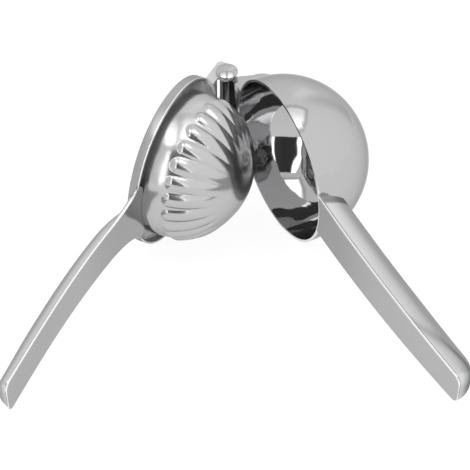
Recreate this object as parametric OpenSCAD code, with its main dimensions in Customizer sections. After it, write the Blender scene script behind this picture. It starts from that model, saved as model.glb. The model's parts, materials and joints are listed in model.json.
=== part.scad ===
// Hand citrus press: a perforated bowl and a ribbed dome, each on its own
// handle, joined by one riveted pin. Lies open on its side as drawn.
// Millimetres, +Z up, rest pose = handles spread by open_angle.

/* [Pose] */
// angle between the two handles in the rest pose, degrees
open_angle = 54; // [10:1:120]

/* [Bowl] */
// outer radius of the bowl
bowl_r = 36; // [30:0.5:45]
// sheet thickness of the bowl
bowl_wall = 1.1; // [0.8:0.1:2]
// straight collar between the round part and the rim
bowl_collar = 2.4; // [0:0.1:8]
// hinge axis to the nearest side of the bowl
hinge_gap = 11.1; // [8:0.1:20]
// rim plane, measured from the hinge axis towards the bowl's bottom
rim_plane = -0.3; // [-3:0.1:2]
// radius of one drain hole
hole_r = 1.9; // [1:0.1:3]
// drain holes in the outer circle
holes_outer = 12; // [6:1:18]
// drain holes in the inner circle
holes_inner = 6; // [3:1:9]
// outer circle of holes, degrees from the bottom of the bowl
hole_lat_outer = 23.5; // [18:0.5:35]
// inner circle of holes, degrees from the bottom of the bowl
hole_lat_inner = 12; // [8:0.5:16]

/* [Dome and ring] */
// room for the peel between the inside of the bowl and the dome
peel_gap = 3.6; // [2:0.1:8]
// sheet thickness of the dome
dome_wall = 1; // [0.8:0.1:2]
// straight band below the round part of the dome
dome_band = 4.2; // [1:0.1:10]
// number of ribs round the dome
ribs = 24; // [8:1:28]
// turn of the ribs about the dome's axis, degrees
rib_turn = 2; // [0:0.5:15]
// radius of the round section of a rib
rib_r = 3.4; // [2:0.1:6]
// how far a rib stands out at its blunt lower end
rib_rise = 1.2; // [0.5:0.1:2]
// lower end of the ribs, degrees above the band
rib_low = 15; // [5:1:30]
// how much tighter a rib is bent than the dome, so that it sinks in
rib_tuck = 5.4; // [2:0.1:6]
// height of the ring's skirt
skirt_h = 3.9; // [2:0.1:8]
// front edge of the skirt, measured from the hinge axis
skirt_plane = 0.5; // [-1:0.1:3]
// sheet thickness of the ring
ring_wall = 1; // [0.8:0.1:2]

/* [Handles] */
// hinge axis to the end of the bowl handle
bowl_len = 185; // [150:1:240]
// hinge axis to the end of the press handle
press_len = 187.5; // [150:0.5:240]
// width of the bowl handle where it leaves the bowl
bowl_w0 = 21.05; // [14:0.05:26]
// width of the bowl handle at its end
bowl_w1 = 16; // [12:0.1:24]
// width of the press handle where it leaves the ring
press_w0 = 16.62; // [12:0.02:24]
// width of the press handle at its end
press_w1 = 17.4; // [12:0.1:24]
// depth of the bowl handle behind its flat face
bowl_depth = 11.6; // [5:0.1:16]
// depth of the press handle behind its flat face
press_depth = 7.5; // [4:0.1:12]
// bend radius of the bowl handle
bowl_bend = 980; // [400:10:3000]
// bend radius of the press handle
press_bend = 380; // [250:10:2000]
// side of the bowl to the lowest point of the bowl handle's face
bowl_dip_x = 26.4; // [0:0.1:60]
// drop of that point below the rim plane
bowl_dip = 0.43; // [0:0.01:5]
// side of the bowl to the lowest point of the press handle's face
press_dip_x = 45.6; // [0:0.1:80]
// drop of that point below the skirt's front edge
press_dip = 3.1; // [0:0.1:8]
// radius of the bowl handle's two flanks
bowl_flank = 15.8; // [12:0.1:30]
// radius of the press handle's two flanks
press_flank = 12; // [9:0.1:30]
// how far the bowl handle's flanks lean in at the face, degrees
bowl_lean = 8; // [0:1:30]
// how far the press handle's flanks lean in at the face, degrees
press_lean = 18; // [0:1:30]
// length over which the bowl handle's back falls away at its end
bowl_fall = 12.5; // [4:0.5:20]
// depth of the bowl handle at its very end
bowl_end = 4.5; // [2:0.1:8]
// length over which the press handle's back falls away at its end
press_fall = 4; // [2:0.5:12]
// depth of the press handle at its very end
press_end = 3.9; // [2:0.1:6]
// fillet between the ring and the press handle
root_fillet = 14; // [6:0.5:24]
// length over which the press handle deepens behind the ring
root_run = 20; // [8:0.5:40]
// corner radius of both ends, seen from above
tip_rc = 3.5; // [1:0.5:6]
// sheet thickness of the handle shells
shell_wall = 1.2; // [0.8:0.1:2]
// thickness of the flat face strips
face_t = 1.2; // [0.8:0.1:2]
// gap between the press handle's face and the dome
face_gap = 0.5; // [0.2:0.1:2]

/* [Hinge] */
// radius of the hinge pin
pin_r = 2; // [1.5:0.1:3]
// gap round the pin inside the barrel, so that it turns
run_gap = 0.06; // [0.02:0.01:0.1]
// outer radius of the barrel
barrel_r = 3.1; // [2.8:0.1:5]
// half the length of the barrel
barrel_half = 8.8; // [6:0.1:14]
// gap between each end of the barrel and its ear
ear_gap = 0.2; // [0.1:0.05:0.5]
// thickness of the yoke and bracket sheet
strap_t = 1.4; // [1:0.1:2.5]
// radius of the pin's button head
head_r = 4.7; // [3:0.1:6]
// height of the button head
head_h = 2.3; // [1:0.1:4]
// straight rim of the button head and of the cap
head_rim = 0.6; // [0.3:0.1:1.5]
// radius of the cap pressed on the lower end of the pin
cap_r = 3.6; // [2.6:0.1:6]
// height of that cap
cap_h = 1.9; // [1:0.1:4]
// length of the pin inside the cap
pin_end = 1; // [0.5:0.1:1.5]
// radius of a yoke ear round the pin
ear_r = 4.9; // [3.5:0.1:8]
// depth of the yoke's cheeks in front of the hinge axis
ear_low = 6.5; // [4:0.1:10]
// how far the cheeks stand out past the pin
ear_nose = 5.3; // [4:0.1:8]
// corner radius at the front of the cheeks
ear_corner = 2; // [0.5:0.1:4]
// hinge axis to the edge of the yoke's web
web_edge = 5.2; // [4:0.1:8]
// how far the yoke's arms run on below the ring
arm_in = 12.9; // [6:0.1:25]
// front of the bracket's web, behind the hinge axis
bracket_front = 0.4; // [0:0.1:2]
// height of the bracket's cheeks behind the hinge axis
bracket_h = 19; // [12:0.5:26]
// corner radius at the back of the cheeks
bracket_r = 9; // [3:0.5:12]

/* [Hidden] */
$fn = 96;
eps = 0.01;
steel = [0.78, 0.79, 0.8];

// --- sizes that follow from the ones above ---
reach = hinge_gap + bowl_r;                    // hinge axis to the bowl's middle
side = reach + bowl_r;                         // far side of the bowl
dome_r = bowl_r - bowl_wall - peel_gap;        // dome without its ribs
bowl_mid = rim_plane + bowl_collar;            // plane of the bowl's equator
floor_y = skirt_plane - skirt_h;               // back of the ring's floor
dome_y = floor_y + ring_wall;                  // the dome stands on the floor
dome_mid = dome_y + dome_band;
ear_in = barrel_half + ear_gap;                // inner side of an ear
ear_out = ear_in + strap_t;
uneven = 0.7;                                  // it lies a little askew
a_bowl = open_angle / 2 + uneven;              // swing from straight ahead
a_press = open_angle / 2 - uneven;
tall = 2 * bowl_r;                             // longer than any cut is deep

// side profile of the two handles: lowest point of the flat face
bowl_low = [side + bowl_dip_x, rim_plane - bowl_dip];
press_low = [side + press_dip_x, skirt_plane - press_dip];
function face_y(low, r, x) = low[1] + r - sqrt(r * r - pow(x - low[0], 2));
bowl_face_y = face_y(bowl_low, bowl_bend, bowl_len);
press_face_y = face_y(press_low, press_bend, press_len);
touch = tip_rc * 4 / 7;                        // where a corner touches down

// The open press lies on four round edges: the bowl's rim, the ring's skirt
// and the lower corner of each tip. reach_down() is how far such an edge
// comes down along v; attitude() leans the part until three of them are
// level, and the ring's radius follows so that it touches too.
function turned(p, a) = [p[0] * cos(a) - p[1] * sin(a),
                         p[0] * sin(a) + p[1] * cos(a), p[2]];
function down(t, q) = [cos(t) * sin(q), -sin(t), -cos(t) * cos(q)];
function reach_down(c, r, v) = c * v + r * norm([v[0], v[2]]);
rim_at = [reach, rim_plane, 0];
skirt_at = [reach, skirt_plane, 0];
bowl_corner = [bowl_len - tip_rc, face_y(bowl_low, bowl_bend, bowl_len - touch),
               tip_rc - bowl_w1 / 2];
press_corner = [press_len - tip_rc, face_y(press_low, press_bend, press_len - touch),
                tip_rc - press_w1 / 2];
function in_bowl(t, q) = turned(down(t, q), 90 - a_bowl);
function in_press(t, q) = turned(down(t, q), 90 + a_press);
function attitude(t, q, n) = n == 0 ? [t, q] :
    let (h = reach_down(rim_at, bowl_r, in_bowl(t, q)),
         hb = reach_down(bowl_corner, tip_rc, in_bowl(t, q)),
         hp = reach_down(press_corner, tip_rc, in_press(t, q)))
    attitude(t + (h - (hb + hp) / 2) / 2.1, q - (hb - hp) / 2.9, n - 1);
rest = attitude(13, 0, 16);
lean = rest[0];
roll = rest[1];
lift = reach_down(rim_at, bowl_r, in_bowl(lean, roll));
ring_v = in_press(lean, roll);
ring_r = (lift - skirt_at * ring_v) / norm([ring_v[0], ring_v[2]]);
// puts the middle of the outline over the origin: to one side the bowl
// handle's back stands out, and behind the hinge the yoke's cheeks do
more_side = bowl_depth * 0.14155;
more_back = ear_nose * 0.63868;
shift_x = (press_len * sin(a_press) - bowl_len * sin(a_bowl)) / 2 - more_side;
shift_y = press_len * cos(a_press) * cos(lean) / 2 - more_back;

// --- frames ---
module on_table() translate([shift_x, shift_y, lift]) rotate([lean, 0, 0])
    rotate([0, roll, 0]) children();
module bowl_half() on_table() rotate([0, 0, a_bowl - 90]) children();
module press_half() on_table() rotate([0, 0, -90 - a_press]) children();
// stands a profile up so that its axis runs through the bowl or the dome
module round_at(y) translate([reach, y, 0]) rotate([-90, 0, 0]) children();

// --- bowl ---
module bowl_solid(r, top) round_at(bowl_mid) rotate_extrude($fn = 128) {
    intersection() { circle(r); square(2 * r); }
    translate([0, -bowl_collar - top]) square([r, bowl_collar + top]);
}
module drain(lat, n) for (i = [0 : n - 1])
    round_at(bowl_mid) rotate([0, 0, (i + 0.5) * 360 / n]) rotate([0, lat, 0])
        translate([0, 0, bowl_r - 2 * hole_r]) cylinder(r = hole_r, h = 4 * hole_r, $fn = 32);
module bowl() color(steel) bowl_half() difference() {
    bowl_solid(bowl_r, 0);
    bowl_solid(bowl_r - bowl_wall, bowl_wall);
    drain(0, 1);
    drain(hole_lat_inner, holes_inner);
    drain(hole_lat_outer, holes_outer);
}

// --- handles: a bent bar, flat in front, with two round flanks behind ---
// the uncut bars start inside the bowl and end past the tips
bar_from = side - bowl_r * 0.64;
bar_to = max(bowl_len, press_len) + tip_rc;
bar_w = bowl_w0 + press_w0;
spare = tip_rc / 24;                           // the tip's cut clears the flanks
// plan outline with rounded corners at the tip
module outline(w0, w1, tip, inset) {
    k = (w1 - w0) / 2 / (tip - side);
    rc = tip_rc;
    h0 = w0 / 2 - k * (side - bar_from) - inset;
    h1 = w1 / 2 - inset;
    polygon([[bar_from, -h0], [tip - rc, -h1], [tip - rc, h1], [bar_from, h0]]);
    translate([tip - rc - eps, -(h1 - rc)]) square([rc + eps, 2 * (h1 - rc)]);
    for (s = [-1, 1]) translate([tip - rc, s * (h1 - rc)]) circle(rc, $fn = 32);
}
// the press handle spreads into the ring with a fillet on either side
spread_r = ring_r - ring_wall / 4;             // where the fillets end
spread_z = press_w0 / 2 + root_fillet;
spread_x = reach + sqrt(pow(spread_r + root_fillet, 2) - pow(spread_z, 2));
ring_x = reach + (spread_x - reach) * spread_r / (spread_r + root_fillet);
ring_z = spread_z * spread_r / (spread_r + root_fillet);
module spread() difference() {
    polygon([[reach, -press_w0 / 2 - face_t], [side - 2 * skirt_h, -press_w0 / 2 - face_t],
             [ring_x, -ring_z], [spread_x, -press_w0 / 2], [spread_x, press_w0 / 2],
             [ring_x, ring_z], [side - 2 * skirt_h, press_w0 / 2 + face_t],
             [reach, press_w0 / 2 + face_t]]);
    for (s = [-1, 1]) translate([spread_x, s * spread_z]) circle(root_fillet, $fn = 96);
}
module plan_cut(w0, w1, tip, inset) rotate([90, 0, 0])
    linear_extrude(tall, center = true) outline(w0, w1, tip, inset);
module spread_cut() rotate([90, 0, 0]) linear_extrude(tall, center = true) spread();
// turns a profile, drawn as depth and height, along the bent face;
// s = -1 bends towards the bowl's bottom, +1 away from it
module along(low, r) {
    a0 = asin((bar_from - low[0]) / r);
    a1 = asin((bar_to - low[0]) / r);
    translate([low[0], low[1] + r, 0]) rotate([0, 0, a0 - 90])
        rotate_extrude(angle = a1 - a0, $fn = 1440) children();
}
module band(low, r, s, d0, d1) along(low, r)
    translate([min(r + s * d0, r + s * d1), -bar_w / 2]) square([abs(d1 - d0), bar_w]);
// all that lies inside one flank, swung in by the handle's taper
module flank(low, r, s, w0, taper, fr, lean_in, inset, up)
    translate([side, 0, 0]) rotate([0, up * taper, 0]) translate([-side, 0, 0])
        along(low, r) translate([r - s * fr * sin(lean_in), up * (w0 / 2 - fr * cos(lean_in))])
            circle(fr - inset, $fn = 128);
// the back's ridge, rounded off
module ridge(low, r, s, w0, depth, inset) along(low, r)
    translate([r + s * (depth - 0.575 * w0), 0]) circle(0.575 * w0 - inset, $fn = 128);
// rounds the back over towards the end of the handle; s as above
module tip_round(low, r, s, tip, depth, fall, end, inset) {
    y0 = face_y(low, r, tip - fall) - s * depth;
    y1 = face_y(low, r, tip) - s * end;
    drop = abs(y1 - y0);
    rr = (fall * fall + drop * drop) / (2 * drop);
    translate([tip - fall, y0 + s * rr, 0]) difference() {
        translate([0, -tall / 2, -bowl_r]) cube(tall);
        cylinder(r = rr - inset, h = 2 * tall, center = true, $fn = 96);
    }
}
bowl_taper = atan((bowl_w0 - bowl_w1) / 2 / (bowl_len - side));
press_taper = atan((press_w0 - press_w1) / 2 / (press_len - side));
module bowl_bar(inset, d0, tip) difference() {
    intersection() {
        band(bowl_low, bowl_bend, -1, d0, bowl_depth - inset);
        for_flanks(bowl_low, bowl_bend, -1, bowl_w0, bowl_taper, bowl_flank, bowl_lean, inset);
        ridge(bowl_low, bowl_bend, -1, bowl_w0, bowl_depth, inset);
        plan_cut(bowl_w0 + 2 * spare, bowl_w1 + 2 * spare, tip, inset);
    }
    tip_round(bowl_low, bowl_bend, -1, bowl_len, bowl_depth, bowl_fall, bowl_end, inset);
}
module for_flanks(low, r, s, w0, taper, fr, lean_in, inset) intersection() {
    flank(low, r, s, w0, taper, fr, lean_in, inset, 1);
    flank(low, r, s, w0, taper, fr, lean_in, inset, -1);
}
// the press handle also gets shallower towards the ring
module root_round(inset) {
    x0 = side + root_run;
    y0 = face_y(press_low, press_bend, x0) - press_depth;
    drop = face_y(press_low, press_bend, side) - press_depth - floor_y;
    rr = (root_run * root_run + drop * drop) / (2 * abs(drop));
    translate([x0, y0 + rr, 0]) difference() {
        translate([-tall, -rr - bowl_depth, -bowl_r]) cube([tall, rr, tall]);
        cylinder(r = rr - inset, h = 2 * tall, center = true, $fn = 96);
    }
}
module press_bar(inset, d0, tip) difference() {
    intersection() {
        band(press_low, press_bend, 1, d0, press_depth - inset);
        for_flanks(press_low, press_bend, 1, press_w0, press_taper, press_flank, press_lean, inset);
        ridge(press_low, press_bend, 1, press_w0, press_depth, inset);
        plan_cut(press_w0 + 2 * spare, press_w1 + 2 * spare, tip, inset);
    }
    tip_round(press_low, press_bend, 1, press_len, press_depth, press_fall, press_end, inset);
    root_round(inset);
}
module bowl_handle_shell() color(steel) bowl_half() difference() {
    bowl_bar(0, face_t, bowl_len);
    bowl_bar(shell_wall, 0, bowl_len - shell_wall);
    bowl_solid(bowl_r, 2 * bowl_depth);
}
module bowl_handle_face() color(steel) bowl_half() difference() {
    intersection() {
        band(bowl_low, bowl_bend, -1, 0, face_t);
        plan_cut(bowl_w0, bowl_w1, bowl_len, 0);
    }
    bowl_solid(bowl_r, 2 * bowl_depth);
}
module press_handle_shell() color(steel) press_half() difference() {
    union() {
        press_bar(0, face_t, press_len);
        intersection() {
            band(press_low, press_bend, 1, face_t, face_t + 0.6 * skirt_h);
            spread_cut();
        }
    }
    press_bar(shell_wall, 0, press_len - shell_wall);
    round_at(-bowl_r) cylinder(r = ring_r, h = tall, $fn = 128);
}
module press_handle_face() color(steel) press_half() difference() {
    intersection() {
        band(press_low, press_bend, 1, 0, face_t);
        union() {
            plan_cut(press_w0, press_w1, press_len, 0);
            spread_cut();
        }
    }
    round_at(-bowl_r) cylinder(r = dome_r + face_gap, h = tall, $fn = 128);
}

// --- dome with ribs: each rib is an arc of a round bar, bent tighter than
// the dome, so it stands out near its blunt foot and sinks in at the top ---
rib_bend = dome_r - rib_r - rib_tuck;
rib_mid = rib_low + 8;
rib_off = rib_rise + rib_tuck;
rib_sink = acos((pow(dome_r - rib_r, 2) - pow(rib_bend, 2) - pow(rib_off, 2))
           / (2 * rib_bend * rib_off)) + rib_mid;
rib_over = rib_r / 17;                         // the foot is a little fuller
module rib() translate([rib_off * cos(rib_mid), 0, rib_off * sin(rib_mid)]) {
    rotate([90, 0, 0]) rotate([0, 0, rib_low])
        rotate_extrude(angle = rib_sink + 4 - rib_low, $fn = 120)
            translate([rib_bend, 0]) circle(rib_r, $fn = 48);
    translate([rib_bend * cos(rib_low), 0, rib_bend * sin(rib_low)])
        sphere(rib_r + rib_over, $fn = 64);
}
// the very top is ground flat by crown_flat
crown_flat = 0.03;
module dome_solid(r, below) round_at(dome_mid) rotate_extrude($fn = 128) {
    intersection() { circle(r); square([2 * r, r - crown_flat]); }
    translate([0, -dome_band - below]) square([r, dome_band + below]);
}
module press_dome() color(steel) press_half() difference() {
    union() {
        dome_solid(dome_r, 0);
        for (i = [0 : ribs - 1]) round_at(dome_mid)
            rotate([0, 0, i * 360 / ribs - rib_turn]) rib();
    }
    dome_solid(dome_r - dome_wall, dome_wall);
}

// --- ring: floor and skirt, open towards the hinge for the yoke ---
module press_ring() color(steel) press_half() difference() {
    round_at(floor_y) rotate_extrude($fn = 128) polygon([
        [dome_r - dome_wall, 0], [ring_r, 0], [ring_r, skirt_h],
        [ring_r - ring_wall, skirt_h], [ring_r - ring_wall, ring_wall],
        [dome_r - dome_wall, ring_wall]]);
    // notch for the yoke and for the bracket of the bowl when closed
    translate([0, dome_y, -ear_in]) cube([reach, 2 * skirt_h, 2 * ear_in]);
    // seat of the handle's face strip on the skirt
    intersection() {
        band(press_low, press_bend, 1, -skirt_h, face_t);
        union() {
            plan_cut(press_w0, press_w1, press_len, 0);
            spread_cut();
        }
    }
}

// --- yoke: a folded strap, web level with the ring's floor, two ears ---
module ear_plan() {
    circle(ear_r, $fn = 64);
    translate([ear_corner - ear_nose, -ear_low]) square([ear_nose, ear_low]);
    translate([-ear_nose, ear_corner - ear_low])
        square([2 * ear_corner, ear_low - ear_corner]);
    translate([ear_corner - ear_nose, ear_corner - ear_low])
        circle(ear_corner, $fn = 32);
    translate([0, -ear_low]) square([1.5 * hinge_gap, ear_low + floor_y + strap_t]);
    translate([0, -ear_low]) square([hinge_gap + arm_in, ear_low + floor_y]);
    translate([hinge_gap + arm_in, floor_y]) intersection() {
        circle(ear_low + floor_y, $fn = 32);
        translate([-1, -bowl_r]) square(bowl_r);
    }
}
module press_yoke() color(steel) press_half() difference() {
    union() {
        for (s = [-1, 1]) translate([0, 0, s > 0 ? ear_in : -ear_out])
            linear_extrude(strap_t) ear_plan();
        translate([web_edge, floor_y, -ear_in - eps])
            cube([hinge_gap, strap_t, 2 * (ear_in + eps)]);
    }
    // fits round the ring's floor
    round_at(floor_y) cylinder(r = ring_r, h = tall, $fn = 128);
    cylinder(r = pin_r, h = tall, center = true, $fn = 48);
}

// --- hinge ---
module hinge_pin() color(steel) press_half() {
    translate([0, 0, -ear_out - pin_end])
        cylinder(r = pin_r, h = 2 * ear_out + pin_end, $fn = 48);
    translate([0, 0, ear_out]) button(head_r, head_h);
}
module button(r, h) {
    crown = h - head_rim;
    rs = (r * r + crown * crown) / (2 * crown);
    cylinder(r = r, h = head_rim, $fn = 64);
    intersection() {
        translate([0, 0, h - rs]) sphere(rs, $fn = 96);
        translate([0, 0, head_rim / 2]) cylinder(r = r, h = h, $fn = 64);
    }
}
module hinge_pin_cap() color(steel) press_half() difference() {
    mirror([0, 0, 1]) translate([0, 0, ear_out]) button(cap_r, cap_h);
    translate([0, 0, -ear_out - pin_end]) cylinder(r = pin_r, h = 2 * cap_h, $fn = 48);
}
module hinge_barrel() color(steel) bowl_half() difference() {
    cylinder(r = barrel_r, h = 2 * barrel_half, center = true, $fn = 64);
    cylinder(r = pin_r + run_gap, h = tall, center = true, $fn = 48);
}
// folded bracket between the barrel and the bowl, open at the back
bracket_x = hinge_gap + barrel_r - bracket_r;  // back edge of the cheeks
module bracket_plan() {
    polygon([[0, bracket_front], [2 * hinge_gap, bracket_front],
             [2 * hinge_gap, bracket_h - bracket_r], [bracket_x, bracket_h - bracket_r],
             1.01 * barrel_r * [cos(40), sin(40)]]);
    translate([bracket_x + bracket_r, bracket_h - bracket_r]) {
        intersection() {
            circle(bracket_r, $fn = 64);
            translate([-bracket_r - 1, -0.1]) square(bracket_r + 1);
        }
        translate([-0.1, -0.1]) square([hinge_gap, bracket_r + 0.1]);
    }
}
module bowl_bracket() color(steel) bowl_half() difference() {
    union() {
        for (s = [-1, 1]) translate([0, 0, s > 0 ? barrel_half - strap_t : -barrel_half])
            linear_extrude(strap_t) bracket_plan();
        translate([0, bracket_front, -barrel_half + eps])
            cube([2 * hinge_gap, strap_t, 2 * (barrel_half - eps)]);
    }
    cylinder(r = barrel_r, h = tall, center = true, $fn = 64);
    bowl_solid(bowl_r, strap_t);
}

bowl();
bowl_bracket();
hinge_barrel();
bowl_handle_shell();
bowl_handle_face();
press_dome();
press_ring();
press_yoke();
press_handle_shell();
press_handle_face();
hinge_pin();
hinge_pin_cap();
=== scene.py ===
# %% [markdown]
# # A hand citrus press in polished stainless steel
# The press lies open on a table: a drilled bowl and a ribbed dome, each on its
# own folded handle, joined by one riveted pin. The measured parts come in from
# the construction model. This lesson dresses them: camera, light, steel, and
# the forms that the construction model only blocks out.

# %% Load the measured parts
import json
import math
import bmesh
import bpy
import numpy as np
from mathutils import Matrix, Vector


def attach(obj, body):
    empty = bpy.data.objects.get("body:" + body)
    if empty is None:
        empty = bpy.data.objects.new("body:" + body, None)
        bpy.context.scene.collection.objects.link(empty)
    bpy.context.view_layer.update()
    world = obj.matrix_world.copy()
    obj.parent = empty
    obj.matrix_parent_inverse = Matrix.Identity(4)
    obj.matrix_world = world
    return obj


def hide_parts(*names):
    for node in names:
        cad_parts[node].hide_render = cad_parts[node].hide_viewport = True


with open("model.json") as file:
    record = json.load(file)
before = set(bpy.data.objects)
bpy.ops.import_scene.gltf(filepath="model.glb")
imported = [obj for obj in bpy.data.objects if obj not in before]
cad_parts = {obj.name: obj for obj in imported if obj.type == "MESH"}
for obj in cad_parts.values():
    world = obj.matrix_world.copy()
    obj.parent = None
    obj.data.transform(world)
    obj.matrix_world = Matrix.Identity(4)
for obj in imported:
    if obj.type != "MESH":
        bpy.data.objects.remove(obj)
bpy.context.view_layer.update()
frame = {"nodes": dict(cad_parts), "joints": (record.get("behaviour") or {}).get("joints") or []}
nodes = frame["nodes"]
print("parts:", sorted(nodes))

# %% [markdown]
# ## Camera
# A press on a catalogue page is taken from some way off with a long lens, so
# that the two handles keep their true proportion. A wide lens close by would
# swell the bowl. This one stands about 0.8 m away, looks down at about
# 35 degrees and is turned a little, as a hand-set camera is.

# %% Camera
CAMERA_AT = (0.007718, -0.61531, 0.44887)
CAMERA_TURN = (55.4094, 0.4417, 0.3481)
LENS = 141.24


def set_camera():
    data = bpy.data.cameras.new("studio_camera")
    data.sensor_width = 36.0
    data.lens = LENS
    data.clip_start = 0.01
    camera = bpy.data.objects.new("studio_camera", data)
    camera.location = CAMERA_AT
    camera.rotation_euler = [math.radians(a) for a in CAMERA_TURN]
    bpy.context.scene.collection.objects.link(camera)
    bpy.context.scene.camera = camera
    return camera


camera = set_camera()
bpy.context.scene.view_settings.view_transform = "Standard"
print("camera at", tuple(round(c, 3) for c in camera.location))

# %% [markdown]
# ## Where things are
# The open press lies askew on its round edges, which is no attitude to draw in.
# So each half is drawn flat, in millimetres, with the hinge pin as its z axis
# and its arm along x. One matrix for each half then lays it on the table. The
# lean and the roll come from the joint's own axis, so nothing is typed twice.
# The back of the bowl's handle looks towards +y and that of the press's handle
# towards -y.

# %% The two halves
def turn(degrees, axis):
    return Matrix.Rotation(math.radians(degrees), 4, axis)


hinge = frame["joints"][0]
PIN_FOOT, PIN_WAY = Vector(hinge["pos_m"]), Vector(hinge["axis"])
lean = math.degrees(math.atan2(-PIN_WAY.y, PIN_WAY.z))
roll = math.degrees(math.asin(PIN_WAY.x))
laid = Matrix.Translation(PIN_FOOT) @ turn(lean, "X") @ turn(roll, "Y") @ Matrix.Scale(0.001, 4)
BOWL_SWING, PRESS_SWING = 27.7, 26.3                   # from straight ahead, in degrees
HALF = {"bowl_half": laid @ turn(BOWL_SWING - 90, "Z"), "press_half": laid @ turn(-PRESS_SWING - 90, "Z")}
print("the hinge stands", round(PIN_FOOT.z * 1000, 1), "mm above the table")

# %% [markdown]
# The sizes that the new forms have to meet are read from the parts themselves:
# the reach from pin to bowl, the radii, the rim's plane and the ring's floor.
# They could be typed in, but then they would stay behind if a part changed.

# %% Measured sizes
def extent(node, half, axis):
    """How far a node reaches along one axis of its half, in millimetres."""
    back = HALF[half].inverted()
    places = [(back @ v.co)[axis] for v in nodes[node].data.vertices]
    return round(min(places), 3), round(max(places), 3)


BOWL_R = round(extent("bowl", "bowl_half", 2)[1], 1)
REACH = extent("bowl", "bowl_half", 0)[1] - BOWL_R
BOWL_MID = extent("bowl", "bowl_half", 1)[0] + 2.4     # above the rim's straight collar
RING_R = extent("press_ring", "press_half", 2)[1]
FLOOR = extent("press_ring", "press_half", 1)[0]
DOME_R = BOWL_R - 4.7                                  # less its wall and the room for the peel
DOME_MID = FLOOR + 5.2                                 # above the dome's straight band
print("reach", REACH, "bowl", BOWL_R, "ring", RING_R, "dome", DOME_R, "floor", FLOOR)

# %% [markdown]
# ## Node helpers
# Every look below is a small graph of nodes. Wired one by one, a formula of five
# terms takes twenty lines. So a socket is wrapped in a class that understands
# + - * /, and each sign adds one Math node: the graph then reads as arithmetic.

# %% Arithmetic with nodes
def add(tree, kind, label="", **values):
    made = tree.nodes.new(kind)
    made.label = label
    for key, value in values.items():
        setattr(made, key, value)
    return made


def feed(tree, value, target):
    """Sets a socket to a number, or wires another socket to it."""
    if isinstance(value, (int, float)):
        target.default_value = value
    else:
        tree.links.new(getattr(value, "socket", value), target)


def calc(tree, operation, *terms, clamp=False):
    made = add(tree, "ShaderNodeMath", operation=operation, use_clamp=clamp)
    for term, socket in zip(terms, made.inputs):
        feed(tree, term, socket)
    return Value(tree, made.outputs[0])


class Value:
    """A node's output that can be written in ordinary arithmetic."""

    def __init__(self, tree, socket):
        self.tree, self.socket = tree, socket

    def __add__(self, other):
        return calc(self.tree, "ADD", self, other)

    def __sub__(self, other):
        return calc(self.tree, "SUBTRACT", self, other)

    def __rsub__(self, other):
        return calc(self.tree, "SUBTRACT", other, self)

    def __mul__(self, other):
        return calc(self.tree, "MULTIPLY", self, other)

    def __truediv__(self, other):
        return calc(self.tree, "DIVIDE", self, other)

    def __rtruediv__(self, other):
        return calc(self.tree, "DIVIDE", other, self)

    def __pow__(self, other):
        return calc(self.tree, "POWER", self, other)

    __radd__, __rmul__ = __add__, __mul__


def larger(first, second):
    return calc(first.tree, "MAXIMUM", first, second)


def smaller(first, second):
    return calc(first.tree, "MINIMUM", first, second)


def root(value):
    return calc(value.tree, "SQRT", value)


print("arithmetic ready")

# %% Masks
def ease(value, low, high, out_low=0.0, out_high=1.0):
    """Leads smoothly from out_low to out_high while the value goes from low to high."""
    made = add(value.tree, "ShaderNodeMapRange", interpolation_type="SMOOTHSTEP")
    for name, term in (("Value", value), ("From Min", low), ("From Max", high),
                       ("To Min", out_low), ("To Max", out_high)):
        feed(value.tree, term, made.inputs[name])
    return Value(value.tree, made.outputs["Result"])


def between(value, low, high, soft):
    """1 between low and high, with soft ends."""
    return ease(value, low - soft, low + soft) * ease(value, high - soft, high + soft, 1.0, 0.0)


def dot(tree, vector, axis):
    """How far a vector socket reaches along an axis."""
    made = add(tree, "ShaderNodeVectorMath", operation="DOT_PRODUCT")
    tree.links.new(vector, made.inputs[0])
    made.inputs[1].default_value = axis
    return Value(tree, made.outputs["Value"])


print("masks ready")

# %% [markdown]
# ## Studio light
# Polished steel has hardly a colour of its own: it shows the room. Small shiny
# goods are lit in a light tent: pale cloth on all sides, a big soft lamp above,
# a strip of light at each side of the opening, and the dark opening itself,
# which draws the crisp black shapes in the metal. Real lamps and cloth walls
# could be built as meshes. Here the whole tent is one world shader instead,
# drawn as patches in the direction of view: nothing gets in the camera's way,
# and every piece sees the same room.

# %% Cloth walls
def cloth_walls(east, north, up):
    """Pale cloth, brighter behind and to the right, with a fold and a glowing patch."""
    azimuth = calc(up.tree, "ARCTAN2", east, north)
    walls = ease(azimuth, -2.4, 2.2, 1.05, 1.36)
    fold = between(azimuth, 0.58, 0.80, 0.16) * between(up, -0.2, 0.72, 0.2)
    glow = between(azimuth, 0.25, 0.47, 0.12) * between(up, 0.45, 0.8, 0.12)
    return walls - fold * 0.30 + glow * 0.2


print("cloth walls ready")

# %% Lamp overhead
LAMP_STRENGTH, LAMP_FRAME = 2.6, 0.42


def hang_lamp(light, east, north, up):
    """A square lamp in a dull frame, weaker at its back, with a bar across its middle."""
    above = ease(up, 0.0, 0.02)
    over = larger(up, 0.01)
    across, along = east / over, north / over
    frame_patch = between(across, -0.54, 0.52, 0.05) * between(along, -0.60, 0.38, 0.05) * above
    bar = between(across, -0.07, 0.09, 0.03)
    lamp = between(across, -0.46, 0.44, 0.05) * between(along, -0.53, 0.30, 0.05)
    lamp = lamp * (1 - bar * 0.85) * above * ease(along, -0.30, 0.25, 1.0, 0.30)
    return light - frame_patch * LAMP_FRAME + lamp * LAMP_STRENGTH


print("lamp strength", LAMP_STRENGTH)

# %% Opening and its strip lamps
OPENING = math.radians(184.4)
STRIP_STRENGTH, OPENING_DARK = 2.8, 0.95


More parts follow.
